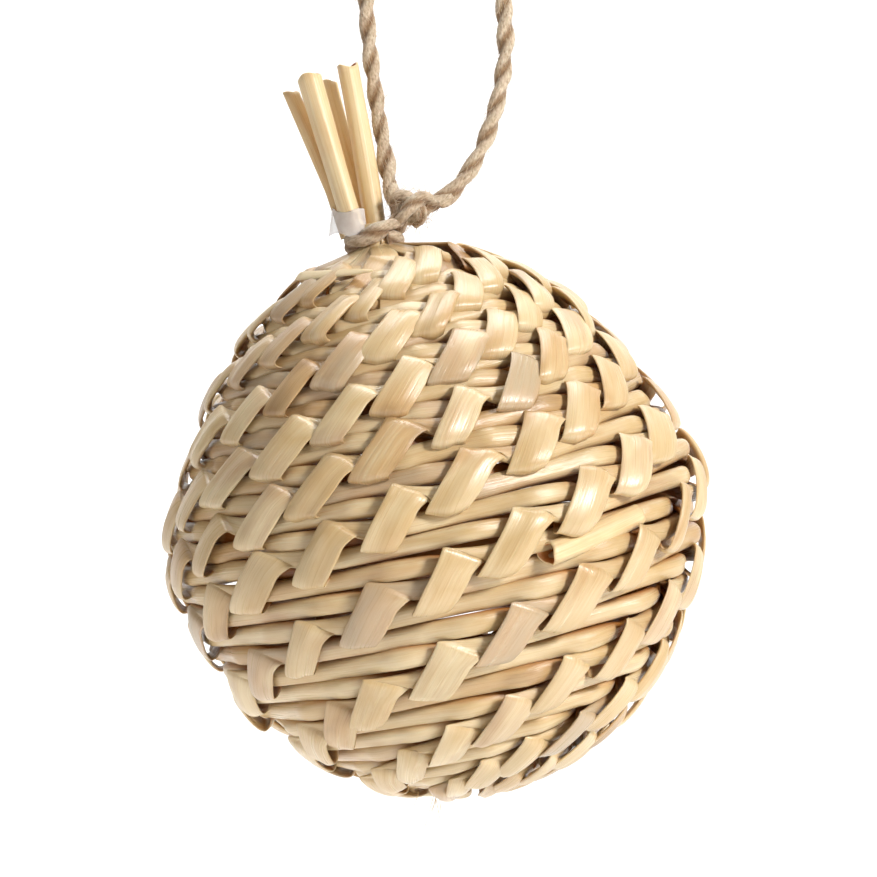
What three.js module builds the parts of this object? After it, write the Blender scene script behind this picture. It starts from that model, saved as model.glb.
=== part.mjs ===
// A hollow ball plaited from straw, hanging in its own twine loop.
//
// Millimetres, +Z up. The front of the ball faces -Y. The origin is the inside top of the loop, where the
// hook goes. The ball hangs below it with its top leaning to -X, towards the knotted neck.
//
// The straws are laid in turns, one above the other, from the bottom up. Each straw runs straight from one
// fold to the next, so that a turn is a polygon, and at each fold a straw doubles up over the turn above.
// The folds of neighbouring turns stand a little further round, so they make slanting rows up the ball.

import * as THREE from 'three';

const vector = (x, y, z) => new THREE.Vector3(x, y, z);

// Driving dimensions
const BALL_CENTRE_Z = -97.2;
const BALL_MIDDLE_RADIUS = 40;
const LEAN_SIDE = THREE.MathUtils.degToRad(10.5);
const LEAN_FRONT = THREE.MathUtils.degToRad(3);
const TWINE_RADIUS = 1.2;
const STRAW_RADIUS = 1.65;
const STRAW_WALL = 0.5;

// Outer shape of the ball about its own axis: radius and height
const OUTLINE = [
  [3, -41],
  [16, -37.5],
  [28.5, -28],
  [37, -14],
  [BALL_MIDDLE_RADIUS, 0],
  [35.5, 13],
  [25.8, 28],
  [13.5, 38],
  [6, 43],
];

// The plait: angles in degrees, lengths along the outline
const FOLD_ROWS = 7;
const FOLD_STEP = 53.756;
const FOLD_START = -7.2;
const ROW_SWAY = 11;
const ROW_SWAY_PHASE = 2.4;
const TURN_ZERO = 51.4;
const TURN_PITCH = 3.425;
const TURN_TIGHTENING = -0.0165;
const FIRST_FOLD = -90;
const LAST_FOLD = 126;

// Section of the laid turns, measured inwards from the outline
const TURN_DEPTH = 2.6;
const TURN_INSET = 2.5;
const TURN_SPACE = 0.45;
const CHORD_SAG = 0.085;
const CHORD_SAG_FULL_RADIUS = 38;

// The starting ends of the straws, tied together at the bottom
const START_RADIUS = 2.6;
const START_HEIGHT = 2.2;
const START_Z = -36.9;

// One fold: a slanting pad two turns tall
const PAD_THICKNESS = 0.9;
const PAD_WIDTH = 6.7;
const PAD_WIDEST_ANGLE = 12.5;
const PAD_SLANT = 4;
const PAD_STEP = 0.7;
const PAD_FIRST_FOLD = -78;
const PAD_LAST_FOLD = 116;

// Neck and knot
const NECK = new THREE.Vector3(-9, -2.2, -55.8);
const NECK_RADIUS = 2.45;
const NECK_SIDES = 16;
const NECK_FLUTE = 0.86;
const NECK_PROFILE = [
  [0, -4.3],
  [9.6, -4.3],
  [8.4, -3.2],
  [5.2, -2.1],
  [NECK_RADIUS, -1.3],
  [NECK_RADIUS, 1.2],
  [3.2, 1.9],
  [0, 1.9],
];
const BINDING_RADIUS = 4;
const KNOT = new THREE.Vector3(-3.5, -3.3, -51.7);
const KNOT_RADIUS = 1.9;
const KNOT_LENGTH = 5.8;
const KNOT_TILT = THREE.MathUtils.degToRad(42);

// The straw spliced in at the front, with its cut end open, and the split piece lying loose near the top:
// angle round the ball and length up its outline at each end
const SPLICE = { from: [46, 56.9], to: [22, 54.9], depth: 1.2 };
const SLIVER = { from: [-60, 107.3], to: [-12, 105.4], depth: -1.2 };
const SLIVER_SIZE = { height: 1.5, thickness: 0.5 };

// Straw ends above the neck: foot and top of each
const STRAW_ENDS = [
  { name: 'straw_end_left', foot: vector(-14.9, 0.9, -51.4), top: vector(-21.8, 1, -34.2), open: 0.42 },
  { name: 'straw_end_front', foot: vector(-12, -2.9, -53.4), top: vector(-18.6, -3.1, -31.9), open: 0 },
  { name: 'straw_end_back', foot: vector(-10.4, 3.4, -50.5), top: vector(-16.1, 4.2, -32.1), open: 0 },
  { name: 'straw_end_right', foot: vector(-8.9, -0.6, -52.6), top: vector(-13, -0.6, -30.1), open: 0 },
];

// Route of the twine loop from the knot, over the top and back to the knot
const LOOP_ROUTE = [
  [-6, -1.8, -50.2],
  [-6.6, -0.2, -48.3],
  [-7.4, 1.2, -43.5],
  [-8.2, 1.6, -38.8],
  [-9, 1.5, -33.5],
  [-9.8, 1.2, -27],
  [-10.3, 0.5, -20.2],
  [-10.3, 0.3, -12.5],
  [-8.2, 0, -4.3],
  [-4.3, 0, -0.1],
  [0, 0, TWINE_RADIUS],
  [4.3, 0, -0.1],
  [8.2, 0, -4.3],
  [10.2, -0.3, -12.5],
  [10.2, -0.5, -20.2],
  [10.5, -0.9, -27],
  [9.8, -1.4, -33],
  [8, -1.9, -39.8],
  [5.4, -2.4, -45.3],
  [2.3, -2.8, -49.2],
  [0.3, -2.9, -50.4],
];
const LOOP_STEPS = 54;

const straw = { color: 0xd9bd83, roughness: 0.5, metalness: 0 };
const foldedStraw = { color: 0xe2ca92, roughness: 0.42, metalness: 0 };
const paleStraw = { color: 0xe6d7a8, roughness: 0.45, metalness: 0 };
const twine = { color: 0xb09a7c, roughness: 0.95, metalness: 0 };

const outline = new THREE.SplineCurve(OUTLINE.map(([r, z]) => new THREE.Vector2(r, z)));
const outlineLength = outline.getLength();

function makePart(name, geometry, material) {
  const mesh = new THREE.Mesh(geometry, new THREE.MeshStandardMaterial(material));
  mesh.name = name;
  return mesh;
}

// Outline radius, height and outward direction at a length along the outline from the bottom
function outlineAt(length) {
  const share = THREE.MathUtils.clamp(length / outlineLength, 0, 1);
  const point = outline.getPointAt(share);
  const along = outline.getTangentAt(share);
  return { radius: point.x, height: point.y, along, outward: new THREE.Vector2(along.y, -along.x) };
}

// A point of the ball: angle round it, length up the outline, depth inwards and a shift up the outline
function ballPoint(angle, length, depth, rise = 0, target = new THREE.Vector3()) {
  const { radius, height, along, outward } = outlineAt(length);
  const turn = THREE.MathUtils.degToRad(angle);
  const r = radius - depth * outward.x + rise * along.x;
  const z = height - depth * outward.y + rise * along.y;
  return target.set(r * Math.sin(turn), -r * Math.cos(turn), z);
}

// Angle of a fold, counted on through all turns. The rows stand closer together on one side of the ball.
function foldAngle(fold) {
  const sway = -ROW_SWAY * Math.sin((2 * Math.PI * (fold + ROW_SWAY_PHASE)) / FOLD_ROWS);
  return FOLD_STEP * fold + sway;
}

// Length up the outline that the plait has reached at an angle
function plaitLength(angle) {
  const turns = angle / 360;
  return TURN_ZERO + TURN_PITCH * turns + TURN_TIGHTENING * turns * turns;
}

function turnPitch(angle) {
  return TURN_PITCH + (2 * TURN_TIGHTENING * angle) / 360;
}

// A closed bar with square ends: section(step) gives its four corners in order
function makeBar(steps, section) {
  const sides = 4;
  const geometry = new THREE.CylinderGeometry(1, 1, 1, sides, steps);
  const position = geometry.attributes.position;
  const corners = Array.from({ length: steps + 1 }, (_, step) => section(step));
  const centre = new THREE.Vector3();
  for (let i = 0; i < position.count; i += 1) {
    const step = Math.round((position.getY(i) + 0.5) * steps);
    const ring = corners[step];
    if (Math.hypot(position.getX(i), position.getZ(i)) < 0.5) {
      centre.set(0, 0, 0);
      ring.forEach((corner) => centre.addScaledVector(corner, 1 / sides));
      position.setXYZ(i, centre.x, centre.y, centre.z);
    } else {
      const side = Math.round((Math.atan2(position.getX(i), position.getZ(i)) / (2 * Math.PI)) * sides);
      const corner = ring[(side + sides) % sides];
      position.setXYZ(i, corner.x, corner.y, corner.z);
    }
  }
  geometry.deleteAttribute('uv');
  geometry.computeVertexNormals();
  return geometry;
}

// All turns of laid straw as one long bar, three stations from one fold to the next
function makeTurns() {
  const stationsPerFold = 3;
  const steps = (LAST_FOLD - FIRST_FOLD) * stationsPerFold;
  return makeBar(steps, (step) => {
    const fold = FIRST_FOLD + Math.floor(step / stationsPerFold);
    const part = (step % stationsPerFold) / stationsPerFold;
    const angle = THREE.MathUtils.lerp(foldAngle(fold), foldAngle(fold + 1), part);
    const length = plaitLength(angle);
    const { radius } = outlineAt(length);
    const sagShare = THREE.MathUtils.smoothstep(radius, 0.45 * CHORD_SAG_FULL_RADIUS, CHORD_SAG_FULL_RADIUS);
    const sag = part === 0 ? 0 : CHORD_SAG * radius * sagShare;
    const outer = TURN_INSET + sag;
    const inner = outer + TURN_DEPTH;
    const half = (turnPitch(angle) - TURN_SPACE) / 2;
    const place = angle + FOLD_START;
    return [
      ballPoint(place, length, outer, -half),
      ballPoint(place, length, inner, -half),
      ballPoint(place, length, inner, half),
      ballPoint(place, length, outer, half),
    ];
  });
}

// One slanting row of folds. Each pad stands proud at its left edge and runs down to its right edge.
function makeFoldRow(row) {
  const folds = [];
  for (let fold = PAD_FIRST_FOLD; fold <= PAD_LAST_FOLD; fold += 1) {
    if ((((fold - row) % FOLD_ROWS) + FOLD_ROWS) % FOLD_ROWS === 0) {
      folds.push(fold);
    }
  }
  return makeBar(folds.length * 2 - 1, (step) => {
    const angle = foldAngle(folds[Math.floor(step / 2)]);
    const side = step % 2 === 0 ? -1 : 1;
    const length = plaitLength(angle);
    const { radius } = outlineAt(length);
    const width = Math.min(THREE.MathUtils.radToDeg(PAD_WIDTH / radius), PAD_WIDEST_ANGLE);
    const slant = Math.min(PAD_SLANT * (BALL_MIDDLE_RADIUS / radius), PAD_SLANT * 1.5);
    const half = turnPitch(angle) * 0.95;
    const outer = side < 0 ? 0 : PAD_STEP;
    const inner = outer + PAD_THICKNESS;
    const low = angle + FOLD_START + (side * width) / 2 - slant;
    const high = angle + FOLD_START + (side * width) / 2 + slant;
    return [
      ballPoint(low, length - half, outer),
      ballPoint(low, length - half, inner),
      ballPoint(high, length + half, inner),
      ballPoint(high, length + half, outer),
    ];
  });
}

// The straws gather from the last turn into the neck, in flutes that run out inside the binding
function makeNeck() {
  const profile = NECK_PROFILE.map(([radius, height]) => new THREE.Vector2(radius, height));
  const geometry = new THREE.LatheGeometry(profile, NECK_SIDES);
  const position = geometry.attributes.position;
  for (let i = 0; i < position.count; i += 1) {
    const x = position.getX(i);
    const z = position.getZ(i);
    const side = Math.round((Math.atan2(x, z) / (2 * Math.PI)) * NECK_SIDES);
    const flute = side % 2 !== 0 && Math.hypot(x, z) > NECK_RADIUS ? NECK_FLUTE : 1;
    position.setXYZ(i, x * flute, position.getY(i), z * flute);
  }
  geometry.rotateX(Math.PI / 2);
  geometry.computeVertexNormals();
  return geometry;
}

// An open tube of straw from its foot to its top; a part of its wall may be missing lengthwise
function makeStrawEnd({ name, foot, top, open }) {
  const along = top.clone().sub(foot);
  const length = along.length();
  const sweep = 2 * Math.PI * (1 - open);
  const section = new THREE.Shape();
  if (open > 0) {
    section.absarc(0, 0, STRAW_RADIUS, 0, sweep, false);
    section.absarc(0, 0, STRAW_RADIUS - STRAW_WALL, sweep, 0, true);
    section.closePath();
  } else {
    section.absarc(0, 0, STRAW_RADIUS, 0, 2 * Math.PI, false);
    const bore = new THREE.Path();
    bore.absarc(0, 0, STRAW_RADIUS - STRAW_WALL, 0, 2 * Math.PI, true);
    section.holes.push(bore);
  }
  const geometry = new THREE.ExtrudeGeometry(section, { depth: length, bevelEnabled: false, curveSegments: 6 });
  const mesh = makePart(name, geometry, paleStraw);
  mesh.quaternion.setFromUnitVectors(new THREE.Vector3(0, 0, 1), along.normalize());
  mesh.position.copy(foot);
  return mesh;
}

// A flat strip of straw between two places on the ball
function makeSliver() {
  const foot = ballPoint(...SLIVER.from, SLIVER.depth);
  const along = ballPoint(...SLIVER.to, SLIVER.depth).sub(foot);
  const geometry = new THREE.BoxGeometry(SLIVER_SIZE.thickness, SLIVER_SIZE.height, along.length());
  geometry.translate(0, 0, along.length() / 2);
  const mesh = makePart('loose_sliver', geometry, paleStraw);
  mesh.quaternion.setFromUnitVectors(new THREE.Vector3(0, 0, 1), along.normalize());
  mesh.position.copy(foot);
  return mesh;
}

function makeLoop() {
  const route = new THREE.CatmullRomCurve3(LOOP_ROUTE.map((point) => new THREE.Vector3(...point)));
  const section = new THREE.Shape();
  section.absarc(0, 0, TWINE_RADIUS, 0, 2 * Math.PI, false);
  const settings = { steps: LOOP_STEPS, curveSegments: 4, extrudePath: route };
  return new THREE.ExtrudeGeometry(section, settings);
}

const ball = new THREE.Group();
ball.add(makePart('straw_turns', makeTurns(), straw));
for (let row = 0; row < FOLD_ROWS; row += 1) {
  ball.add(makePart(`fold_row_${row + 1}`, makeFoldRow(row), foldedStraw));
}
const starts = new THREE.CylinderGeometry(START_RADIUS, START_RADIUS, START_HEIGHT, 12);
starts.rotateX(Math.PI / 2);
starts.translate(0, 0, START_Z);
ball.add(makePart('straw_starts', starts, straw));
const spliceFoot = ballPoint(...SPLICE.from, SPLICE.depth);
const spliceTop = ballPoint(...SPLICE.to, SPLICE.depth);
ball.add(makeStrawEnd({ name: 'spliced_straw', foot: spliceFoot, top: spliceTop, open: 0 }));
ball.add(makeSliver());
ball.rotation.set(LEAN_FRONT, -LEAN_SIDE, 0, 'YXZ');
ball.position.set(0, 0, BALL_CENTRE_Z);

const neck = makePart('gathered_neck', makeNeck(), straw);
neck.rotation.set(LEAN_FRONT, -LEAN_SIDE, 0, 'YXZ');
neck.position.copy(NECK);

const binding = makePart('neck_binding', new THREE.TorusGeometry(BINDING_RADIUS, TWINE_RADIUS, 8, 20), twine);
binding.rotation.copy(neck.rotation);
binding.position.copy(NECK);

const knot = makePart('loop_knot', new THREE.SphereGeometry(1, 12, 8), twine);
knot.scale.set(KNOT_LENGTH / 2, KNOT_RADIUS, KNOT_RADIUS);
knot.rotation.y = -KNOT_TILT;
knot.position.copy(KNOT);

const model = new THREE.Group();
model.add(ball, neck, binding, knot);
model.add(...STRAW_ENDS.map(makeStrawEnd));
model.add(makePart('hanging_loop', makeLoop(), twine));

export default model;
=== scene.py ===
import math

import bmesh
import bpy
import numpy as np
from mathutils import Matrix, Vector


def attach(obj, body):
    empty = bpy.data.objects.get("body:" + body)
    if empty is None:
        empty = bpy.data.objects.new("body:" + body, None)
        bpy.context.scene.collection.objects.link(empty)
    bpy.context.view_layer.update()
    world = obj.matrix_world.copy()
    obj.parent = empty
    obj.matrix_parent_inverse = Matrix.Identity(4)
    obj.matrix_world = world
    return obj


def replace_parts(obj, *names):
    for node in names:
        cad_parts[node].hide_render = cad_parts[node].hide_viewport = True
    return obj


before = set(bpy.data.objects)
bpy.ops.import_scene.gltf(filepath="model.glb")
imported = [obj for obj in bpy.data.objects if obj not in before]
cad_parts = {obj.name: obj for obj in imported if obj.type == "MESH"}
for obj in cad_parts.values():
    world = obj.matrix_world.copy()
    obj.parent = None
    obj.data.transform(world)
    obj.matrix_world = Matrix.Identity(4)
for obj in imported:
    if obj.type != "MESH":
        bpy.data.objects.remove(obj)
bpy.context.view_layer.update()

MM = 0.001
SEAM = 1e-8

# ---------------------------------------------------------------- the ball and its plait, in millimetres

BALL_CENTRE_Z = -97.2
LEAN_SIDE = math.radians(10.5)
LEAN_FRONT = math.radians(3)
BALL_MIDDLE_RADIUS = 40
OUTLINE = (
    (3, -41), (16, -37.5), (28.5, -28), (37, -14), (BALL_MIDDLE_RADIUS, 0),
    (35.5, 13), (25.8, 28), (13.5, 38), (6, 43),
)
FOLD_ROWS = 7
STRAWS = FOLD_ROWS + 1
FOLD_STEP = 53.756
FOLD_START = -7.2
ROW_SWAY = 11
ROW_SWAY_PHASE = 2.4
TURN_ZERO = 51.4
TURN_PITCH = 3.425
TURN_TIGHTENING = -0.0165
FIRST_FOLD = -88
LAST_FOLD = 121

NECK = np.array((-9, -2.2, -55.8))
TWINE_RADIUS = 1.2


def smooth_through(stations, pieces):
    """A Catmull-Rom curve through each column of the stations, with some pieces between two of them."""
    points = np.asarray(stations, float)
    last = len(points) - 1
    share = np.linspace(0, last, last * pieces + 1)
    span = np.minimum(share.astype(int), last - 1)
    w = (share - span)[:, None]
    before, start = points[np.maximum(span - 1, 0)], points[span]
    end, after = points[span + 1], points[np.minimum(span + 2, last)]
    leave, arrive = (end - before) / 2, (after - start) / 2
    curve = (2 * start - 2 * end + leave + arrive) * w**3
    return curve + (3 * end - 3 * start - 2 * leave - arrive) * w**2 + leave * w + start


def unit(vectors):
    return vectors / np.maximum(np.linalg.norm(vectors, axis=-1, keepdims=True), 1e-12)


def lengths_along(points):
    """Length so far at each point of a path."""
    return np.concatenate(([0], np.cumsum(np.linalg.norm(np.diff(points, axis=0), axis=1))))


def outline_table(pieces=60):
    """Radius, height and length so far along the smooth outline through its points."""
    curve = smooth_through(OUTLINE, pieces)
    return curve[:, 0], curve[:, 1], lengths_along(curve)


OUTLINE_RADIUS, OUTLINE_HEIGHT, OUTLINE_LENGTH = outline_table()
SLOPE_R = np.gradient(OUTLINE_RADIUS, OUTLINE_LENGTH)
SLOPE_Z = np.gradient(OUTLINE_HEIGHT, OUTLINE_LENGTH)


def radius_at(length):
    return np.interp(length, OUTLINE_LENGTH, OUTLINE_RADIUS)


def ball_frame(angle, length, depth):
    """Point, right, up and outward directions on the ball, in its own frame."""
    r, z = radius_at(length), np.interp(length, OUTLINE_LENGTH, OUTLINE_HEIGHT)
    up_r, up_z = np.interp(length, OUTLINE_LENGTH, SLOPE_R), np.interp(length, OUTLINE_LENGTH, SLOPE_Z)
    turn = np.radians(angle)
    away = np.stack((np.sin(turn), -np.cos(turn), np.zeros_like(turn)), axis=-1)
    right = np.stack((np.cos(turn), np.sin(turn), np.zeros_like(turn)), axis=-1)
    top = np.array((0.0, 0.0, 1.0))
    up = away * up_r[..., None] + top * up_z[..., None]
    out = away * up_z[..., None] - top * up_r[..., None]
    point = away * r[..., None] + top * z[..., None] - out * depth[..., None]
    return point, right, up, out


def lean_matrix():
    """The ball leans towards the front, then to the side."""
    c, s = math.cos(LEAN_FRONT), math.sin(LEAN_FRONT)
    forward = np.array(((1, 0, 0), (0, c, -s), (0, s, c)))
    c, s = math.cos(LEAN_SIDE), math.sin(LEAN_SIDE)
    sideways = np.array(((c, 0, -s), (0, 1, 0), (s, 0, c)))
    return sideways @ forward


LEAN = lean_matrix()
BALL_CENTRE = np.array((0, 0, BALL_CENTRE_Z))


def hang(points):
    """Lean the ball's own frame as it hangs, and bring it to its place in metres."""
    return (points @ LEAN.T + BALL_CENTRE) * MM


def unhang(points):
    """The ball's own frame for places given in millimetres: the reverse of hang."""
    return (points - BALL_CENTRE) @ LEAN


def fold_angle(fold):
    return FOLD_STEP * fold - ROW_SWAY * math.sin(2 * math.pi * (fold + ROW_SWAY_PHASE) / FOLD_ROWS)


def plait_length(angle):
    turns = angle / 360
    return TURN_ZERO + TURN_PITCH * turns + TURN_TIGHTENING * turns * turns


# ---------------------------------------------------------------- making meshes


def new_piece(name, bm, material):
    bmesh.ops.recalc_face_normals(bm, faces=bm.faces)
    mesh = bpy.data.meshes.new(name)
    bm.to_mesh(mesh)
    bm.free()
    for face in mesh.polygons:
        face.use_smooth = True
    piece = bpy.data.objects.new(name, mesh)
    bpy.context.scene.collection.objects.link(piece)
    mesh.materials.append(material)
    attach(piece, "root")
    return piece


def fill_open_ends(bm):
    bmesh.ops.holes_fill(bm, edges=[edge for edge in bm.edges if edge.is_boundary], sides=0)


def add_sleeve(bm, rings, values):
    """Lay a grid over the rings of one long sleeve and close it round.

    rings is stations x points x 3 in metres. values gives each station's length, tint and depth, or each
    point's depth.
    """
    stations, around = rings.shape[:2]
    uv_layer = bm.loops.layers.uv.verify()
    tint_layer = bm.verts.layers.float.get("tint") or bm.verts.layers.float.new("tint")
    # The depth layer sets how much painted shade the finishes lay on: deeper means darker.
    depth_layer = bm.verts.layers.float.get("depth") or bm.verts.layers.float.new("depth")
    grid = bmesh.ops.create_grid(bm, x_segments=stations - 1, y_segments=around, size=0.5)
    lengths, tints = values[:2]
    depths = np.broadcast_to(np.reshape(values[2], (stations, -1)), (stations, around))
    for vert in grid["verts"]:
        i = round((vert.co.x + 0.5) * (stations - 1))
        j = round((vert.co.y + 0.5) * around)
        for loop in vert.link_loops:
            loop[uv_layer].uv = (lengths[i], j / around)
        vert[tint_layer] = tints[i]
        vert[depth_layer] = depths[i, j % around]
        vert.co = rings[i, j % around]
    bmesh.ops.remove_doubles(bm, verts=grid["verts"], dist=SEAM)


# ---------------------------------------------------------------- the working straws

# One fold, station by station: the strip's left or upper edge and its right or lower edge, right and up from
# the fold's middle, then the depth below the outline, half thickness, and how flat the straw is pressed
FOLD = (
    ((-5.2, -1.4), (-5.2, -4.2), 4.4, 0.8, 0.0),
    ((-5.0, -2.4), (-2.6, -4.2), 3.6, 0.5, 0.6),
    ((-6.0, -3.4), (-1.1, -3.9), 2.6, 0.3, 1.0),
    ((-6.9, -4.1), (-1.4, -4.7), 1.3, 0.24, 1.0),
    ((-7.1, -4.3), (-1.4, -4.9), 0.55, 0.24, 1.0),
    ((-6.9, -4.0), (-1.1, -4.6), -0.1, 0.26, 1.0),
    ((-6.0, -2.8), (0.2, -3.4), -0.4, 0.3, 1.0),
    ((-4.6, -1.0), (1.8, -1.6), -0.4, 0.34, 1.0),
    ((-3.1, 0.8), (3.1, 0.0), -0.3, 0.34, 1.0),
    ((-1.7, 2.6), (4.3, 0.8), -0.1, 0.34, 1.0),
    ((-0.8, 3.9), (5.0, 1.1), 0.15, 0.3, 1.0),
    ((-0.4, 4.3), (5.3, 1.05), 0.5, 0.32, 1.0),
    ((1.2, 3.9), (5.9, 0.75), 0.85, 0.45, 0.9),
    ((3.8, 3.55), (6.9, 0.5), 1.2, 0.7, 0.5),
    ((7.0, 3.35), (8.4, 0.3), 1.55, 1.0, 0.2),
)
CHORD_STATIONS = 5
CHORD_HALF_WIDTH = 1.56
CHORD_HALF_THICKNESS = 1.35
CHORD_RISE = 1.8
CHORD_DEPTH = 1.75
PIECES_PER_SPAN = 3
AROUND = 20
SQUARENESS = 0.8
HIDDEN_DEPTH = 3
TINT_RUN = 46
UV_PER_MM = 0.02
SHRINK_POWER = 0.55
SMALLEST_RADIUS = 2.5

# How far one fold or straight run differs from the next
FOLD_ANGLE_SPREAD = 1.0
FOLD_LENGTH_SPREAD = 0.2
FOLD_WIDTH_SPREAD = 0.07
FOLD_LIFT_SPREAD = 0.14
FOLD_TILT_SPREAD = 0.28
CORNER_SPREAD = 0.17
CHORD_WIDTH_SPREAD = 0.05
CHORD_THICKNESS_SPREAD = 0.07
CHORD_RISE_SPREAD = 0.1
CHORD_BOW_SPREAD = 0.12

# The straight run is held down this far where the next fold of its row crosses it, comes near the corner of
# the next turn, and tucks under it: right, drop, share of the width, depth and share of the thickness
HELD_DROP = 3.5
CORNER_NEAR = -6.5
TUCK = ((-1.5, 0.25, 1.0, 2.3, 0.8), (2.2, 1.0, 0.92, 3.4, 0.7))


def fold_place(fold):
    """Angle, length up the outline, radius and how much the fold shrinks towards the ends of the ball."""
    angle = fold_angle(fold)
    length = plait_length(angle)
    radius = max(float(radius_at(length)), SMALLEST_RADIUS)
    return angle + FOLD_START, length, radius, min(1.0, (radius / BALL_MIDDLE_RADIUS) ** SHRINK_POWER)


def edge_points(angle, length, radius, scale, rows, tilt=0.0):
    """Both edges of the strip at some stations, as points of the ball; tilt lifts one and sinks the other."""
    edges = []
    for side, lift in ((0, tilt), (1, -tilt)):
        right = np.array([row[side][0] for row in rows]) * scale
        up = np.array([row[side][1] for row in rows])
        depth = np.array([row[2] - lift * row[4] for row in rows], float)
        edges.append(ball_frame(angle + np.degrees(right / radius), length + up, depth)[0])
    return edges


def level_row(right, rise, half_width, depth, half_thickness):
    return ((right, rise + half_width), (right, rise - half_width), depth, half_thickness, 0.0)


def straw_stations(straw, rng):
    """Both edges, thickness, flatness and depth of one straw, from fold to fold along the whole plait."""
    folds = [fold for fold in range(FIRST_FOLD, LAST_FOLD + 1) if fold % STRAWS == straw]
    upper, lower, sizes = [], [], []

    def add(place, rows, tilt=0.0):
        edges = edge_points(*place, rows, tilt)
        upper.extend(edges[0])
        lower.extend(edges[1])
        sizes.extend((row[3], row[4], row[2]) for row in rows)

    for fold in folds:
        angle, length, radius, scale = fold_place(fold)
        widen, lift = rng.normal(1, FOLD_WIDTH_SPREAD), abs(rng.normal(0, FOLD_LIFT_SPREAD))
        angle += rng.normal(0, FOLD_ANGLE_SPREAD)
        length += rng.normal(0, FOLD_LENGTH_SPREAD)
        shake = rng.normal(0, CORNER_SPREAD, 4)
        rows = []
        for i, (left, right, depth, half, flat) in enumerate(FOLD):
            top = i / (len(FOLD) - 1)
            rows.append((
                (left[0] + shake[0] * flat, left[1] + shake[1] * top * flat),
                (right[0] + shake[2] * flat, right[1] + shake[3] * (1 - top) * flat),
                depth - lift * flat, half, flat,
            ))
        add((angle, length, radius, scale * widen), rows, rng.normal(0, FOLD_TILT_SPREAD))
        if fold == folds[-1]:
            continue
        width = CHORD_HALF_WIDTH * rng.normal(1, CHORD_WIDTH_SPREAD)
        thick = CHORD_HALF_THICKNESS * rng.normal(1, CHORD_THICKNESS_SPREAD)
        add(fold_place(fold + FOLD_ROWS), [level_row(0, CHORD_RISE - HELD_DROP, width, CHORD_DEPTH, thick)])
        start = upper[-1], lower[-1]
        corner = fold_place(fold + 1)
        level = CHORD_RISE + rng.normal(0, CHORD_RISE_SPREAD)
        near = level_row(CORNER_NEAR, level, width, CHORD_DEPTH, thick)
        finish = edge_points(*corner, [near])
        bow = rng.normal(0, CHORD_BOW_SPREAD)
        for step in range(1, CHORD_STATIONS + 1):
            share = step / (CHORD_STATIONS + 1)
            bend = bow * math.sin(math.pi * share)
            first = start[0] * (1 - share) + finish[0][0] * share
            second = start[1] * (1 - share) + finish[1][0] * share
            up = (first - second) / np.linalg.norm(first - second)
            upper.append(first + up * bend)
            lower.append(second + up * bend)
            sizes.append((thick, 0.0, CHORD_DEPTH))
        add(corner, [near] + [
            level_row(right, level - drop, width * width_share, depth, thick * thick_share)
            for right, drop, width_share, depth, thick_share in TUCK
        ])
    return np.array(upper), np.array(lower), np.array(sizes)


def wavering(lengths, spacing, low, high, rng):
    """A value that changes slowly along the straw."""
    count = int(lengths[-1] / spacing) + 2
    return np.interp(lengths, np.arange(count) * spacing, rng.uniform(low, high, count))


def straw_rings(upper, lower, sizes, rng):
    """Cross-sections round a smooth path, from round tube to creased flat strip."""
    table = smooth_through(np.hstack((upper, lower, sizes)), PIECES_PER_SPAN)
    first, second = table[:, :3], table[:, 3:6]
    half_thickness, flat, depth = table[:, 6:9].T
    centre, width = (first + second) / 2, unit(first - second)
    half_width = np.linalg.norm(first - second, axis=1) / 2
    thick = unit(np.cross(np.gradient(centre, axis=0), width))
    lengths = lengths_along(centre)
    ring_angle = np.linspace(0, 2 * math.pi, AROUND, endpoint=False)
    across = np.sign(np.cos(ring_angle)) * np.abs(np.cos(ring_angle)) ** SQUARENESS
    height = np.sign(np.sin(ring_angle)) * np.abs(np.sin(ring_angle)) ** SQUARENESS
    # Lengthwise creases that wander and come and go along the straw
    wander = wavering(lengths, 30, -0.55, 0.55, rng)[:, None]
    crease = (wavering(lengths, 24, -0.1, 0.75, rng) * np.clip(flat, 0, 1))[:, None]
    groove = wavering(lengths, 20, -0.22, 0.16, rng)[:, None]
    ridge = np.clip(1 - np.abs(across[None, :] - wander) / 0.8, 0, 1)
    furrow = np.exp(-(((across[None, :] + wander * 1.2) / 0.22) ** 2))
    outer = (height[None, :] > -0.3).astype(float)
    rise = half_thickness[:, None] * height[None, :] + outer * (crease * ridge + groove * furrow)
    side = half_width[:, None] * across[None, :]
    rings = centre[:, None, :] + side[..., None] * width[:, None, :]
    rings += rise[..., None] * thick[:, None, :]
    # The depth handed on for the painted shade: where the straw lies shallower than HIDDEN_DEPTH, the outer
    # face of each section is painted lighter and the face towards the ball darker.
    return rings, lengths, depth[:, None] - rise * (depth[:, None] < HIDDEN_DEPTH)


def make_straws(material):
    straws = []
    for straw in range(STRAWS):
        rng = np.random.default_rng(100 + straw)
        rings, lengths, depth = straw_rings(*straw_stations(straw, rng), rng)
        tint = wavering(lengths, TINT_RUN, 0, 1, rng)
        bm = bmesh.new()
        add_sleeve(bm, hang(rings), (lengths * UV_PER_MM + straw, tint, depth))
        fill_open_ends(bm)
        straws.append(new_piece(f"working_straw_{straw + 1}", bm, material))
    return straws


# ---------------------------------------------------------------- finishes


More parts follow.
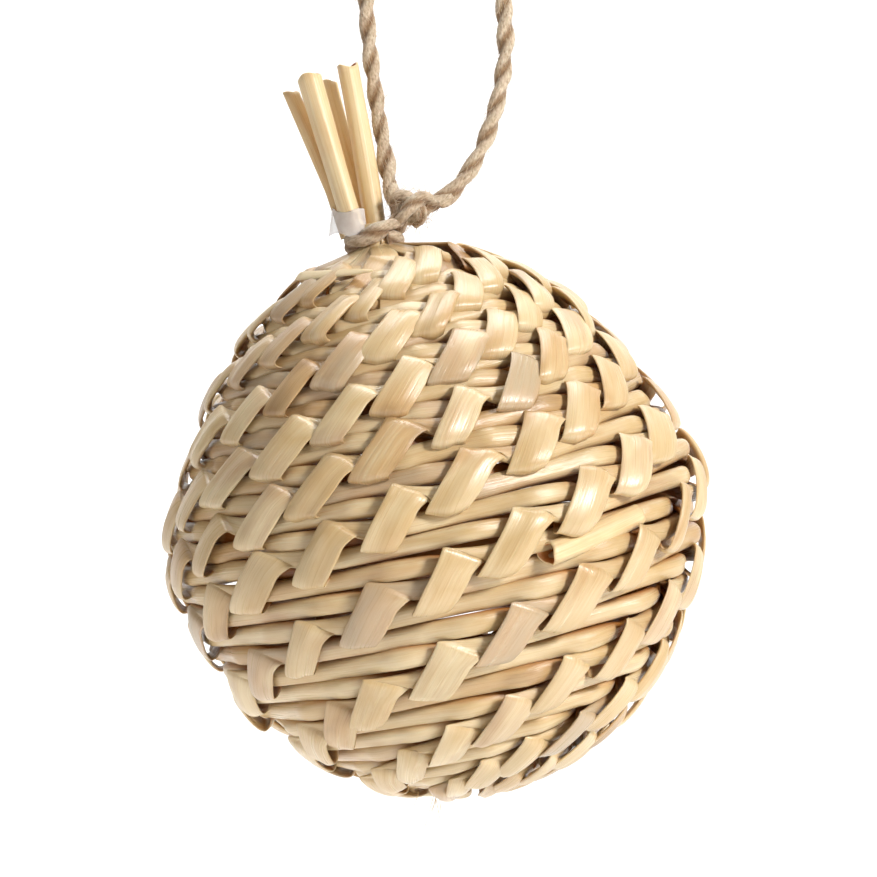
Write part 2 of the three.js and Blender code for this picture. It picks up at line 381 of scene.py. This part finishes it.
class Nodes:
    """Short words for building one material's node tree."""

    def __init__(self, name):
        self.material = bpy.data.materials.new(name)
        self.material.use_nodes = True
        self.tree = self.material.node_tree
        self.skin = self.tree.nodes["Principled BSDF"]

    def add(self, kind, inputs=None, **settings):
        node = self.tree.nodes.new(kind)
        for key, value in settings.items():
            setattr(node, key, value)
        for key, value in (inputs or {}).items():
            self.put(node.inputs[key], value)
        return node

    def put(self, socket, value):
        if isinstance(value, bpy.types.NodeSocket):
            self.tree.links.new(value, socket)
        else:
            socket.default_value = value

    def attribute(self, name):
        return self.add("ShaderNodeAttribute", attribute_name=name).outputs["Fac"]

    def noise(self, vector, scale, detail=3.0, roughness=0.55):
        inputs = {"Vector": vector, "Scale": scale, "Detail": detail, "Roughness": roughness}
        return self.add("ShaderNodeTexNoise", inputs).outputs["Fac"]

    def stretch(self, vector, scale):
        return self.add("ShaderNodeMapping", {"Vector": vector, "Scale": scale}).outputs["Vector"]

    def remap(self, value, low, high, to_low=0.0, to_high=1.0):
        inputs = {"Value": value, "From Min": low, "From Max": high, "To Min": to_low, "To Max": to_high}
        return self.add("ShaderNodeMapRange", inputs).outputs["Result"]

    def maths(self, operation, first, second):
        node = self.add("ShaderNodeMath", operation=operation)
        self.put(node.inputs[0], first)
        self.put(node.inputs[1], second)
        return node.outputs["Value"]

    def ramp(self, value, stops):
        node = self.add("ShaderNodeValToRGB", {"Fac": value})
        colours = node.color_ramp.elements
        while len(colours) < len(stops):
            colours.new(0.5)
        for element, (position, colour) in zip(colours, stops):
            element.position = position
            element.color = (*colour, 1)
        return node.outputs["Color"]

    def mix(self, blend, share, first, second):
        node = self.add("ShaderNodeMix", data_type="RGBA", blend_type=blend)
        self.put(node.inputs["Factor"], share)
        for socket, value in ((node.inputs[6], first), (node.inputs[7], second)):
            self.put(socket, value if isinstance(value, bpy.types.NodeSocket) else (*value, 1))
        return node.outputs[2]

    def bump(self, height, strength, distance, below=None):
        inputs = {"Height": height, "Strength": strength, "Distance": distance}
        if below is not None:
            inputs["Normal"] = below
        return self.add("ShaderNodeBump", inputs).outputs["Normal"]


def straw_finish(name, stops, roughness):
    """Flattened straw: fine fibres along it, warm tints from straw to straw, satin skin, and painted
    orange-brown shade where it lies deep below the ball's outline.
    """
    n = Nodes(name)
    uv = n.add("ShaderNodeTexCoord").outputs["UV"]
    place = n.add("ShaderNodeTexCoord").outputs["Object"]
    fibres = n.noise(n.stretch(uv, (2.2, 46, 1)), 1.0, 4.0, 0.62)
    hairs = n.noise(n.stretch(uv, (5.0, 130, 1)), 1.0, 2.0, 0.5)
    blotch = n.noise(place, 95.0, 3.0, 0.6)
    drift = n.noise(n.stretch(uv, (4.0, 3.0, 1)), 1.0, 2.0, 0.5)
    tint = n.maths("ADD", n.attribute("tint"), n.remap(drift, 0.3, 0.7, -0.16, 0.16))
    colour = n.ramp(tint, stops)
    colour = n.mix("MULTIPLY", n.remap(fibres, 0.42, 0.7, 0.0, 0.4), colour, (0.78, 0.6, 0.4))
    colour = n.mix("MULTIPLY", n.remap(hairs, 0.58, 0.72, 0.0, 0.4), colour, (0.66, 0.46, 0.28))
    colour = n.mix("SCREEN", n.remap(fibres, 0.42, 0.25, 0.0, 0.22), colour, (0.9, 0.82, 0.6))
    colour = n.mix("MULTIPLY", n.remap(blotch, 0.5, 0.75, 0.0, 0.35), colour, (0.86, 0.7, 0.55))
    # Painted shade: the deeper a point lies below the ball's outline, the more orange-brown is multiplied in,
    # for the crevices and the undersides of folds and runs.
    painted_crevice_shade = n.remap(n.attribute("depth"), 1.0, 2.3)
    colour = n.mix("MULTIPLY", painted_crevice_shade, colour, (0.66, 0.34, 0.13))
    n.put(n.skin.inputs["Base Color"], colour)
    n.put(n.skin.inputs["Roughness"], n.remap(fibres, 0.3, 0.7, roughness - 0.07, roughness + 0.12))
    n.put(n.skin.inputs["Subsurface Weight"], 0.12)
    n.put(n.skin.inputs["Subsurface Radius"], (1.0, 0.55, 0.25))
    n.put(n.skin.inputs["Subsurface Scale"], 0.0012)
    n.put(n.skin.inputs["Specular IOR Level"], 0.8)
    coarse = n.bump(fibres, 0.4, 0.0002)
    n.put(n.skin.inputs["Normal"], n.bump(hairs, 0.3, 0.0001, coarse))
    return n.material


STRAW_TINTS = (
    (0.0, (0.40, 0.25, 0.11)),
    (0.14, (0.57, 0.38, 0.18)),
    (0.32, (0.66, 0.51, 0.29)),
    (0.5, (0.60, 0.43, 0.21)),
    (0.66, (0.71, 0.57, 0.34)),
    (0.82, (0.56, 0.39, 0.22)),
    (1.0, (0.49, 0.38, 0.24)),
)
PALE_TINTS = (
    (0.0, (0.72, 0.50, 0.24)),
    (0.5, (0.84, 0.69, 0.42)),
    (1.0, (0.70, 0.49, 0.23)),
)


def twine_finish(name):
    """Hairy jute: grey-beige fibres along the twist, with painted shade between the plies."""
    n = Nodes(name)
    uv = n.add("ShaderNodeTexCoord").outputs["UV"]
    place = n.add("ShaderNodeTexCoord").outputs["Object"]
    strands = n.noise(n.stretch(uv, (30, 22, 1)), 1.0, 5.0, 0.65)
    patches = n.noise(place, 260.0, 4.0, 0.6)
    colour = n.ramp(strands, (
        (0.3, (0.30, 0.21, 0.13)), (0.46, (0.58, 0.45, 0.31)),
        (0.6, (0.74, 0.62, 0.46)), (0.75, (0.86, 0.78, 0.65)),
    ))
    colour = n.mix("MULTIPLY", n.remap(patches, 0.4, 0.7, 0.0, 0.7), colour, (0.66, 0.55, 0.45))
    # Painted shade in the grooves between the plies
    groove = n.remap(n.attribute("depth"), 0.25, 0.75)
    colour = n.mix("MULTIPLY", groove, colour, (0.5, 0.38, 0.27))
    n.put(n.skin.inputs["Base Color"], colour)
    n.put(n.skin.inputs["Roughness"], 0.92)
    n.put(n.skin.inputs["Sheen Weight"], 0.35)
    n.put(n.skin.inputs["Sheen Roughness"], 0.5)
    n.put(n.skin.inputs["Subsurface Weight"], 0.08)
    n.put(n.skin.inputs["Subsurface Scale"], 0.0006)
    n.put(n.skin.inputs["Normal"], n.bump(strands, 0.9, 0.00035))
    return n.material


def tape_finish(name):
    """A scrap of clear tape: milky, thin and glossy."""
    n = Nodes(name)
    place = n.add("ShaderNodeTexCoord").outputs["Object"]
    creases = n.noise(place, 700.0, 2.0, 0.6)
    colour = n.ramp(creases, ((0.3, (0.86, 0.80, 0.76)), (0.7, (0.95, 0.93, 0.92))))
    n.put(n.skin.inputs["Base Color"], colour)
    n.put(n.skin.inputs["Roughness"], 0.3)
    n.put(n.skin.inputs["Alpha"], 0.42)
    n.put(n.skin.inputs["Normal"], n.bump(creases, 0.4, 0.0003))
    return n.material


# ---------------------------------------------------------------- straw ends, neck and loose pieces


def path_frames(points, hint):
    """Directions along a path and two across it, the first as near to the hint as it can be."""
    along = unit(np.gradient(points, axis=0))
    side = unit(hint - (along * hint).sum(axis=1, keepdims=True) * along)
    return along, side, np.cross(along, side)


STRAW_WALL = 0.42
STRAW_OVAL = 0.86
END_AROUND = 40
END_STATIONS = 26
SPLIT_TURN = 0.42
# Depth given to the inner wall of a cut straw, so that the finish paints it with full shade
INNER_WALL_SHADE_DEPTH = 3.6


def make_open_straw(name, foot, top, material, radius, seed, split=0.0):
    """A hollow cut straw: outside, rim and inner wall as one sleeve, the inner wall painted with shade, with a
    split along it if asked.
    """
    rng = np.random.default_rng(seed)
    share = np.linspace(0, 1, END_STATIONS)
    middle_line = np.array(foot) + np.outer(share, np.array(top) - np.array(foot))
    middle_line = middle_line + np.sin(share * math.pi)[:, None] * rng.normal(0, 0.25, 3)
    along, side, other = path_frames(middle_line, np.array((0.0, -1.0, 0.0)))
    reach = (1 - split) * math.pi
    angles = np.linspace(-reach, reach, END_AROUND) + math.pi * (SPLIT_TURN if split else 0)
    flute = 1 + 0.03 * np.sin(angles * 3 + rng.uniform(0, 6)) + 0.02 * np.sin(angles * 7)
    swell = 1 + 0.05 * np.sin(share * 5 + rng.uniform(0, 6)) + 0.06 * share**6
    away = np.cos(angles)[None, :, None] * side[:, None, :]
    away = away + np.sin(angles)[None, :, None] * other[:, None, :] * STRAW_OVAL
    away = away * swell[:, None, None] * flute[None, :, None]
    outer = middle_line[:, None, :] + away * radius
    inner = middle_line[:, None, :] + away * (radius - STRAW_WALL)
    uneven_cut = 0.35 * np.sin(angles * 2 + rng.uniform(0, 6))[:, None] * along[-1][None, :]
    outer[-1] += uneven_cut
    inner[-1] += uneven_cut
    rim = (outer[-1] + inner[-1]) / 2 + along[-1] * 0.12
    bm = bmesh.new()
    add_wall(bm, np.concatenate((outer, rim[None], inner[::-1])) * MM, split > 0, seed)
    return new_piece(name, bm, material)


def add_wall(bm, rings, is_split, seed):
    """A sheet of stations x points, up the outer side and down the inner side, joined at its foot and its
    edges; the inner side is given depth for painted shade.
    """
    stations, around = rings.shape[:2]
    uv_layer = bm.loops.layers.uv.verify()
    tint_layer = bm.verts.layers.float.new("tint")
    depth_layer = bm.verts.layers.float.new("depth")
    grid = bmesh.ops.create_grid(bm, x_segments=stations - 1, y_segments=around - 1, size=0.5)
    tint = np.random.default_rng(seed + 50).uniform(0.1, 0.9)
    half = stations // 2
    for vert in grid["verts"]:
        i = round((vert.co.x + 0.5) * (stations - 1))
        j = round((vert.co.y + 0.5) * (around - 1))
        for loop in vert.link_loops:
            loop[uv_layer].uv = (min(i, stations - 1 - i) * UV_PER_MM + seed, j / around)
        vert[tint_layer] = tint
        # Painted shade: the inner wall is marked deep and painted dark, the outside not at all.
        vert[depth_layer] = 0.0 if i <= half else INNER_WALL_SHADE_DEPTH
        vert.co = rings[i, j]
    if not is_split:
        bmesh.ops.remove_doubles(bm, verts=bm.verts, dist=1e-7)
    if is_split:
        fill_open_ends(bm)
    else:
        bmesh.ops.bridge_loops(bm, edges=[edge for edge in bm.edges if edge.is_boundary])


def strip_rings(points, hint, half_width, half_thickness, around=12):
    """Sections of a flat strip along a path that lies with its flat side to the hint."""
    _, out, side = path_frames(points, hint)
    angle = np.linspace(0, 2 * math.pi, around, endpoint=False)
    across = np.sign(np.cos(angle)) * np.abs(np.cos(angle)) ** SQUARENESS
    height = np.sin(angle)
    return (
        points[:, None, :]
        + (half_width[:, None] * across[None, :])[..., None] * side[:, None, :]
        + (half_thickness[:, None] * height[None, :])[..., None] * out[:, None, :]
    )


NECK_STRIPS = 15
NECK_START_LENGTH = 103.5
NECK_STRIP_RUN = 8
NECK_LAYER = 0.5
# Rise past the neck's middle, and radius, where the strips run together
NECK_RINGS = ((-1.6, 3.6), (-0.4, 2.9), (1.2, 2.7), (2.2, 2.6))


def make_neck(material):
    """Flat strips that rise from the last turns of the ball and run together within the binding, with painted
    shade at their foot.
    """
    bm = bmesh.new()
    rng = np.random.default_rng(31)
    centre = unhang(NECK)
    for i in range(NECK_STRIPS):
        turn = 360 / NECK_STRIPS * i + rng.normal(0, 4)
        lean = rng.uniform(16, 34)
        share = np.linspace(0, 1, 5)
        length = NECK_START_LENGTH + share * NECK_STRIP_RUN
        depth = np.full(5, 0.9 + NECK_LAYER * (i % 3))
        rows = list(ball_frame(turn - lean * (1 - share), length, depth)[0])
        ring = math.radians(turn + 12)
        for rise, r in NECK_RINGS:
            rows.append(centre + np.array((math.sin(ring) * r, -math.cos(ring) * r, rise)))
        path = smooth_through(rows, 4)
        share = np.linspace(0, 1, len(path))
        width = np.interp(share, (0, 0.5, 0.8, 1), (2.2, 2.0, 1.1, 0.9)) * rng.normal(1, 0.1)
        outward = path - centre * np.array((1, 1, 0))
        outward[:, 2] = np.interp(share, (0, 0.5, 1), (14, 6, 0))
        rings = strip_rings(path, unit(outward), width, np.full(len(path), 0.34))
        tint = np.full(len(path), rng.uniform(0, 1))
        # The last value is the depth for the painted shade: darker at the strips' foot by the ball, none from
        # halfway up.
        add_sleeve(bm, hang(rings), (share * 0.4 + 3 * i, tint, 1.6 - 1.2 * share))
    fill_open_ends(bm)
    return new_piece("gathered_strips", bm, material)


SLIVER_STATIONS = 14


def make_sliver(material):
    """The split piece of straw that lies loose near the top."""
    share = np.linspace(0, 1, SLIVER_STATIONS)
    depth = -1.3 - 0.8 * share * (1 - share)
    points, _, _, out = ball_frame(-66 + 58 * share, 107.6 - 2.2 * share, depth)
    straight = points[0] + np.outer(share, points[-1] - points[0])
    path = straight * 0.75 + points * 0.25
    width = np.interp(share, (0, 0.05, 0.8, 1), (0.85, 0.95, 0.7, 0.12))
    bm = bmesh.new()
    rings = strip_rings(path, out, width, np.full(SLIVER_STATIONS, 0.2))
    add_sleeve(bm, hang(rings), (share * 0.2, np.full(SLIVER_STATIONS, 0.55), np.zeros(SLIVER_STATIONS)))
    fill_open_ends(bm)
    return new_piece("loose_split_straw", bm, material)


TAPE_ROUTE = (
    (-15.4, 1.6, -53.0), (-15.5, -1.4, -53.3), (-14.2, -4.0, -53.6), (-12.2, -5.3, -53.9),
    (-10.2, -5.0, -53.7),
)
TAPE_MIDDLE = np.array((-12.6, 0, -53.5))


def make_tape(material):
    """A scrap of clear tape round the feet of the left ends."""
    path = smooth_through(TAPE_ROUTE, 6)
    share = np.linspace(0, 1, len(path))
    bm = bmesh.new()
    width = 1.9 + 0.35 * np.sin(share * 9)
    rings = strip_rings(path, unit(path - TAPE_MIDDLE), width, np.full(len(path), 0.05))
    add_sleeve(bm, rings * MM, (share, share, share))
    fill_open_ends(bm)
    return new_piece("tape_scrap", bm, material)


# ---------------------------------------------------------------- twine

LOOP_ROUTE = (
    (-6, -1.8, -50.2), (-6.6, -0.2, -48.3), (-7.4, 1.2, -43.5), (-8.2, 1.6, -38.8), (-9, 1.5, -33.5),
    (-9.8, 1.2, -27), (-10.3, 0.5, -20.2), (-10.3, 0.3, -12.5), (-8.2, 0, -4.3), (-4.3, 0, -0.1),
    (0, 0, TWINE_RADIUS), (4.3, 0, -0.1), (8.2, 0, -4.3), (10.2, -0.3, -12.5), (10.2, -0.5, -20.2),
    (10.5, -0.9, -27), (9.8, -1.4, -33), (8, -1.9, -39.8), (5.4, -2.4, -45.3), (2.3, -2.8, -49.2),
    (0.3, -2.9, -50.4),
)
PLY_RADIUS = 0.93
PLY_OFFSET = 0.42
TWIST_PITCH = 10.5


def twine_rings(path, seed, around=32, flatten=1.0, loosen=1.0):
    """Two plies twisted into one section that turns along the path, with uneven, hairy swelling."""
    rng = np.random.default_rng(seed)
    along = unit(np.gradient(path, axis=0))
    lengths = lengths_along(path)
    side = [unit(np.cross(along[0], np.array((0.31, 0.9, 0.2))))]
    for direction in along[1:]:
        side.append(unit(side[-1] - direction * (side[-1] @ direction)))
    side = np.array(side)
    other = np.cross(along, side)
    uneven = rng.normal(0, 0.35, int(lengths[-1] / 12) + 2)
    twist = lengths / TWIST_PITCH * 2 * math.pi
    twist = twist + np.interp(lengths, np.arange(0, lengths[-1] + 12, 12), uneven)
    angle = np.linspace(0, 2 * math.pi, around, endpoint=False)
    lobe = PLY_OFFSET * np.abs(np.cos(angle)) + np.sqrt(PLY_RADIUS**2 - (PLY_OFFSET * np.sin(angle)) ** 2)
    swell = rng.normal(1, 0.07, int(lengths[-1] / 3) + 2)
    swell = np.interp(lengths, np.arange(0, lengths[-1] + 3, 3), swell)
    rough = rng.normal(0, 0.022, (len(path), around))
    r = lobe[None, :] * (swell[:, None] + rough) * loosen
    a = angle[None, :] + twist[:, None]
    x, y = r * np.cos(a), r * np.sin(a) * flatten
    rings = path[:, None, :] + x[..., None] * side[:, None, :] + y[..., None] * other[:, None, :]
    # How deep each point lies between the plies, which sets the painted shade of the finish
    groove = 1 - (lobe - lobe.min()) / (lobe.max() - lobe.min())
    return rings, lengths, groove


def add_twine(bm, path, seed, flatten=1.0, loosen=1.0):
    rings, lengths, groove = twine_rings(path, seed, flatten=flatten, loosen=loosen)
    stations, around = rings.shape[:2]
    uv_layer = bm.loops.layers.uv.verify()
    depth_layer = bm.verts.layers.float.get("depth") or bm.verts.layers.float.new("depth")
    grid = bmesh.ops.create_grid(bm, x_segments=stations - 1, y_segments=around, size=0.5)
    for vert in grid["verts"]:
        i = round((vert.co.x + 0.5) * (stations - 1))
        j = round((vert.co.y + 0.5) * around)
        for loop in vert.link_loops:
            loop[uv_layer].uv = (lengths[i] * 0.045 + seed, j / around + lengths[i] * 0.11)
        vert[depth_layer] = groove[j % around]
        vert.co = rings[i, j % around] * MM
    bmesh.ops.remove_doubles(bm, verts=grid["verts"], dist=SEAM)


def make_loop(material):
    path = smooth_through(LOOP_ROUTE, 14)
    bm = bmesh.new()
    add_twine(bm, path, 5)
    fill_open_ends(bm)
    loop = new_piece("twine_loop", bm, material)
    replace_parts(loop, "hanging_loop")
    return loop


BINDING_STATIONS = 90
BINDING_START = -330
BINDING_END = 75


def make_binding(material):
    """The twine goes more than once round the neck, rising to the knot."""
    bm = bmesh.new()
    centre = unhang(NECK)
    share = np.linspace(0, 1, BINDING_STATIONS)
    turn = np.radians(BINDING_START + (BINDING_END - BINDING_START) * share)
    rise = np.interp(share, (0, 0.35, 0.75, 1), (-0.5, -0.9, 0.1, 2.2))
    r = np.interp(share, (0, 0.8, 1), (3.3, 3.75, 4.6))
    path = centre + np.stack((np.sin(turn) * r, -np.cos(turn) * r, rise), axis=1)
    path = hang(path) / MM
    add_twine(bm, path, 12, flatten=0.9)
    fill_open_ends(bm)
    binding = new_piece("twine_binding", bm, material)
    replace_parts(binding, "neck_binding")
    return binding


KNOT_ROUTE = (
    (-5.6, -3.4, -54.4), (-4.9, -5.0, -53.0), (-3.6, -5.2, -51.2), (-2.0, -4.6, -50.1), (-1.0, -3.0, -50.3),
    (-1.6, -1.4, -51.6), (-3.4, -1.0, -52.6), (-5.0, -1.8, -52.2), (-5.8, -3.0, -51.0), (-5.2, -3.9, -50.0),
    (-3.8, -4.2, -50.1), (-2.6, -4.4, -51.4), (-2.3, -3.9, -52.7), (-3.2, -2.9, -53.4),
)
KNOT_JOINS = (
    ((-6.6, -0.2, -48.3), (-6.1, -1.4, -49.8), (-5.6, -2.2, -51.2), (-5.3, -2.4, -52.8), (-5.4, -2.5, -54.2)),
    ((2.3, -2.8, -49.2), (0.6, -2.9, -50.3), (-1.2, -3.0, -51.0), (-3.0, -3.1, -51.6)),
)


def make_knot(material):
    """A pulled-tight overhand knot, with both strands of the loop running into it."""
    bm = bmesh.new()
    add_twine(bm, smooth_through(KNOT_ROUTE, 8), 21, loosen=0.92)
    for i, route in enumerate(KNOT_JOINS):
        add_twine(bm, smooth_through(route, 8), 23 + i, loosen=0.97)
    fill_open_ends(bm)
    knot = new_piece("twine_knot", bm, material)
    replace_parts(knot, "loop_knot")
    return knot


def add_hair(bm, path, radius):
    """One fibre as a three-sided sleeve that tapers to its tip."""
    along = unit(np.gradient(path, axis=0))
    side = unit(np.cross(along, np.array((0.3, 0.5, 0.81))))
    other = np.cross(along, side)
    angle = np.radians((0, 120, 240))
    taper = np.linspace(1, 0.35, len(path))[:, None, None] * radius
    rings = path[:, None, :] + taper * (
        np.cos(angle)[None, :, None] * side[:, None, :] + np.sin(angle)[None, :, None] * other[:, None, :])
    stations = len(path)
    grid = bmesh.ops.create_grid(bm, x_segments=stations - 1, y_segments=3, size=0.5)
    for vert in grid["verts"]:
        i = round((vert.co.x + 0.5) * (stations - 1))
        j = round((vert.co.y + 0.5) * 3)
        vert.co = rings[i, j % 3] * MM
    bmesh.ops.remove_doubles(bm, verts=grid["verts"], dist=1e-9)


def make_fibres(material):
    """Loose fibres that stand off the twine loop and the knot."""
    rng = np.random.default_rng(77)
    bm = bmesh.new()
    routes = (
        (smooth_through(LOOP_ROUTE, 14), 620, 1.25, 4.2),
        (smooth_through(KNOT_ROUTE, 8), 300, 1.0, 4.0),
        (smooth_through(KNOT_JOINS[0], 8), 90, 1.0, 3.4),
    )
    for path, count, radius, reach in routes:
        along = unit(np.gradient(path, axis=0))
        for _ in range(count):
            i = rng.integers(1, len(path) - 1)
            away = rng.normal(0, 1, 3)
            away = unit(away - along[i] * (away @ along[i]))
            curl = rng.normal(0, 1, 3)
            size = rng.uniform(0.5, 1) ** 2 * reach
            t = np.linspace(0, 1, 8)[:, None]
            hair = path[i] + away * radius * 0.7 + (
                away * t * size * rng.uniform(0.15, 0.6) + along[i] * t * size * rng.choice((-1, 1)) * 0.8
                + curl * (t**2) * size * 0.3)
            add_hair(bm, hair, rng.uniform(0.03, 0.055))
    fill_open_ends(bm)
    return new_piece("twine_fibres", bm, material)


def make_straw_hairs(material):
    """A few hairs of split straw at the bottom of the ball."""
    rng = np.random.default_rng(9)
    bm = bmesh.new()
    for _ in range(7):
        start = np.array((rng.uniform(-2.6, 0.6), -6, -137.5))
        drop = np.array((rng.uniform(-1.4, 1.2), rng.uniform(-1, 1), -rng.uniform(3.2, 5.4)))
        t = np.linspace(0, 1, 8)[:, None]
        add_hair(bm, start + drop * t + rng.normal(0, 0.4, 3) * t * t, 0.07)
    fill_open_ends(bm)
    return new_piece("straw_hairs", bm, material)


# ---------------------------------------------------------------- the camera, the light and the floor


CAMERA_PLACE = (0.5, -450, -85.5)
VIEW_WIDTH = 130.7
SENSOR_WIDTH = 36


def make_camera():
    """It looks along +Y, level, and takes in VIEW_WIDTH at the origin's distance."""
    data = bpy.data.cameras.new("camera")
    data.sensor_width = SENSOR_WIDTH
    data.lens = -SENSOR_WIDTH * CAMERA_PLACE[1] / VIEW_WIDTH
    camera = bpy.data.objects.new("camera", data)
    camera.location = Vector(CAMERA_PLACE) * MM
    camera.rotation_euler = (math.radians(90), 0, 0)
    bpy.context.scene.collection.objects.link(camera)
    bpy.context.scene.camera = camera


def make_light(name, place, aim, size, power, colour):
    data = bpy.data.lights.new(name, "AREA")
    data.shape = "DISK"
    data.size = size
    data.energy = power
    data.color = colour
    lamp = bpy.data.objects.new(name, data)
    lamp.location = place
    lamp.rotation_euler = (Vector(aim) - Vector(place)).to_track_quat("-Z", "Y").to_euler()
    bpy.context.scene.collection.objects.link(lamp)


FLOOR_HALF_WIDTH = 2.5
FLOOR_LEVEL = -0.3
FLOOR_FRONT = -1.6
WALL_PLACE = 1.5
WALL_TOP = 2.2
CURVE_RADIUS = 0.5


def make_floor():
    """A plain pale floor that curves up into the wall behind."""
    bm = bmesh.new()
    curve_start = WALL_PLACE - CURVE_RADIUS
    profile = [
        bm.verts.new((-FLOOR_HALF_WIDTH, y, FLOOR_LEVEL)) for y in (FLOOR_FRONT, curve_start)
    ]
    for a in np.radians(np.arange(10, 91, 10)):
        y = curve_start + CURVE_RADIUS * math.sin(a)
        z = FLOOR_LEVEL + CURVE_RADIUS * (1 - math.cos(a))
        profile.append(bm.verts.new((-FLOOR_HALF_WIDTH, y, z)))
    profile.append(bm.verts.new((-FLOOR_HALF_WIDTH, WALL_PLACE, WALL_TOP)))
    edges = [bm.edges.new(pair) for pair in zip(profile, profile[1:])]
    swept = bmesh.ops.extrude_edge_only(bm, edges=edges)["geom"]
    verts = [item for item in swept if isinstance(item, bmesh.types.BMVert)]
    bmesh.ops.translate(bm, verts=verts, vec=(2 * FLOOR_HALF_WIDTH, 0, 0))
    bmesh.ops.recalc_face_normals(bm, faces=bm.faces)
    mesh = bpy.data.meshes.new("floor")
    bm.to_mesh(mesh)
    bm.free()
    floor = bpy.data.objects.new("floor", mesh)
    bpy.context.scene.collection.objects.link(floor)
    n = Nodes("pale floor")
    n.put(n.skin.inputs["Base Color"], (0.93, 0.93, 0.93, 1))
    n.put(n.skin.inputs["Roughness"], 0.9)
    mesh.materials.append(n.material)


BALL_AIM = (0, 0, -0.09)


def make_studio():
    """A small key light from the right, a soft fill from the left, and a lit wall."""
    scene = bpy.context.scene
    scene.view_settings.view_transform = "Standard"
    world = bpy.data.worlds.new("studio")
    world.use_nodes = True
    background = world.node_tree.nodes["Background"]
    background.inputs["Color"].default_value = (1, 1, 1, 1)
    background.inputs["Strength"].default_value = 0.2
    scene.world = world
    make_light("key", (0.58, -0.5, 0.28), BALL_AIM, 0.18, 7.6, (1, 0.98, 0.96))
    make_light("left fill", (-0.7, -0.5, 0.0), BALL_AIM, 0.6, 1.0, (1, 0.94, 0.9))
    make_light("wall light", (0, 0.55, 1.4), (0, 1.5, 0.1), 1.4, 34, (1, 1, 1))
    make_floor()


# ---------------------------------------------------------------- putting it together

make_camera()
jute = twine_finish("jute twine")
make_loop(jute)
straw_skin = straw_finish("plaited straw", STRAW_TINTS, 0.29)
pale_skin = straw_finish("smooth straw", PALE_TINTS, 0.4)

ball = make_straws(straw_skin)
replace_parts(ball[0], "straw_turns", "straw_starts")
for row in range(FOLD_ROWS):
    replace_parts(ball[row + 1], f"fold_row_{row + 1}")
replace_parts(make_neck(straw_skin), "gathered_neck")
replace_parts(make_sliver(pale_skin), "loose_sliver")

# The cut ends above the neck: name, foot, top, radius, seed, share of the tube split away, node it replaces
STRAW_ENDS = (
    ("left_straw_end", (-13.3, 0.7, -55.6), (-21.8, 1, -34.2), 1.75, 3, 0.42, "straw_end_left"),
    ("front_straw_end", (-11.6, -2.9, -55.6), (-18.6, -3.1, -31.9), 1.95, 4, 0.0, "straw_end_front"),
    ("back_straw_end", (-9.4, 3.0, -54.8), (-16.1, 4.2, -32.1), 1.6, 5, 0.3, "straw_end_back"),
    ("right_straw_end", (-8.7, -0.9, -55.2), (-13, -0.6, -30.1), 1.85, 6, 0.0, "straw_end_right"),
)
for name, foot, top, radius, seed, split, node in STRAW_ENDS:
    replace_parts(make_open_straw(name, foot, top, pale_skin, radius, seed, split), node)
splice_from, splice_to = hang(ball_frame(
    np.array((48.0, 22.0)), np.array((57.0, 54.9)), np.array((2.2, 0.9)))[0]) / MM
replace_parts(make_open_straw("spliced_straw_end", splice_from, splice_to, pale_skin, 1.9, 8), "spliced_straw")

make_tape(tape_finish("clear tape"))
make_binding(jute)
make_knot(jute)
make_fibres(jute)
make_straw_hairs(pale_skin)
make_studio()
